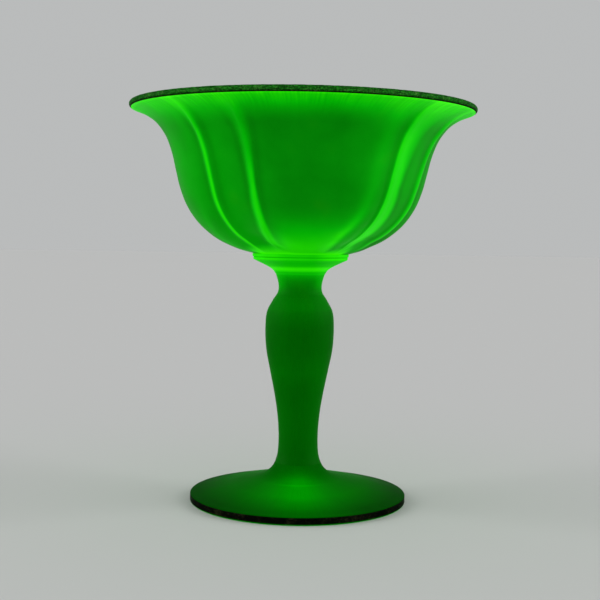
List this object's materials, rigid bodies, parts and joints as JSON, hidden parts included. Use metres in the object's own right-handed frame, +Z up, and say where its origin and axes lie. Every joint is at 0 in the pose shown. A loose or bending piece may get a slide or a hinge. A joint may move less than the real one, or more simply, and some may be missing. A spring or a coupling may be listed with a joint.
{
  "type": "stemmed glass comport",
  "caption": "Stemmed satin glass comport: a fluted bowl with a flared, metal-banded lip on a wafer, baluster stem and round banded foot.",
  "frame": {"origin": "centre of the flat ring under the foot, on the surface that the comport stands on", "axes": "+Z up the stem to the open bowl; the wide panel between two ridges faces -Y"},
  "size_m": [0.1522, 0.1522, 0.1754],
  "materials": {
    "satin_uranium_glass": "satin, translucent, fluorescing green",
    "dark_gold": "fired metal band, darkened and slightly rough"
  },
  "bodies": {
    "root": {"foot": "satin_uranium_glass", "foot_gold_band": "dark_gold", "stem": "satin_uranium_glass", "merese": "satin_uranium_glass", "bowl": "satin_uranium_glass", "rim_gold_band": "dark_gold"}
  },
  "joints": []
}
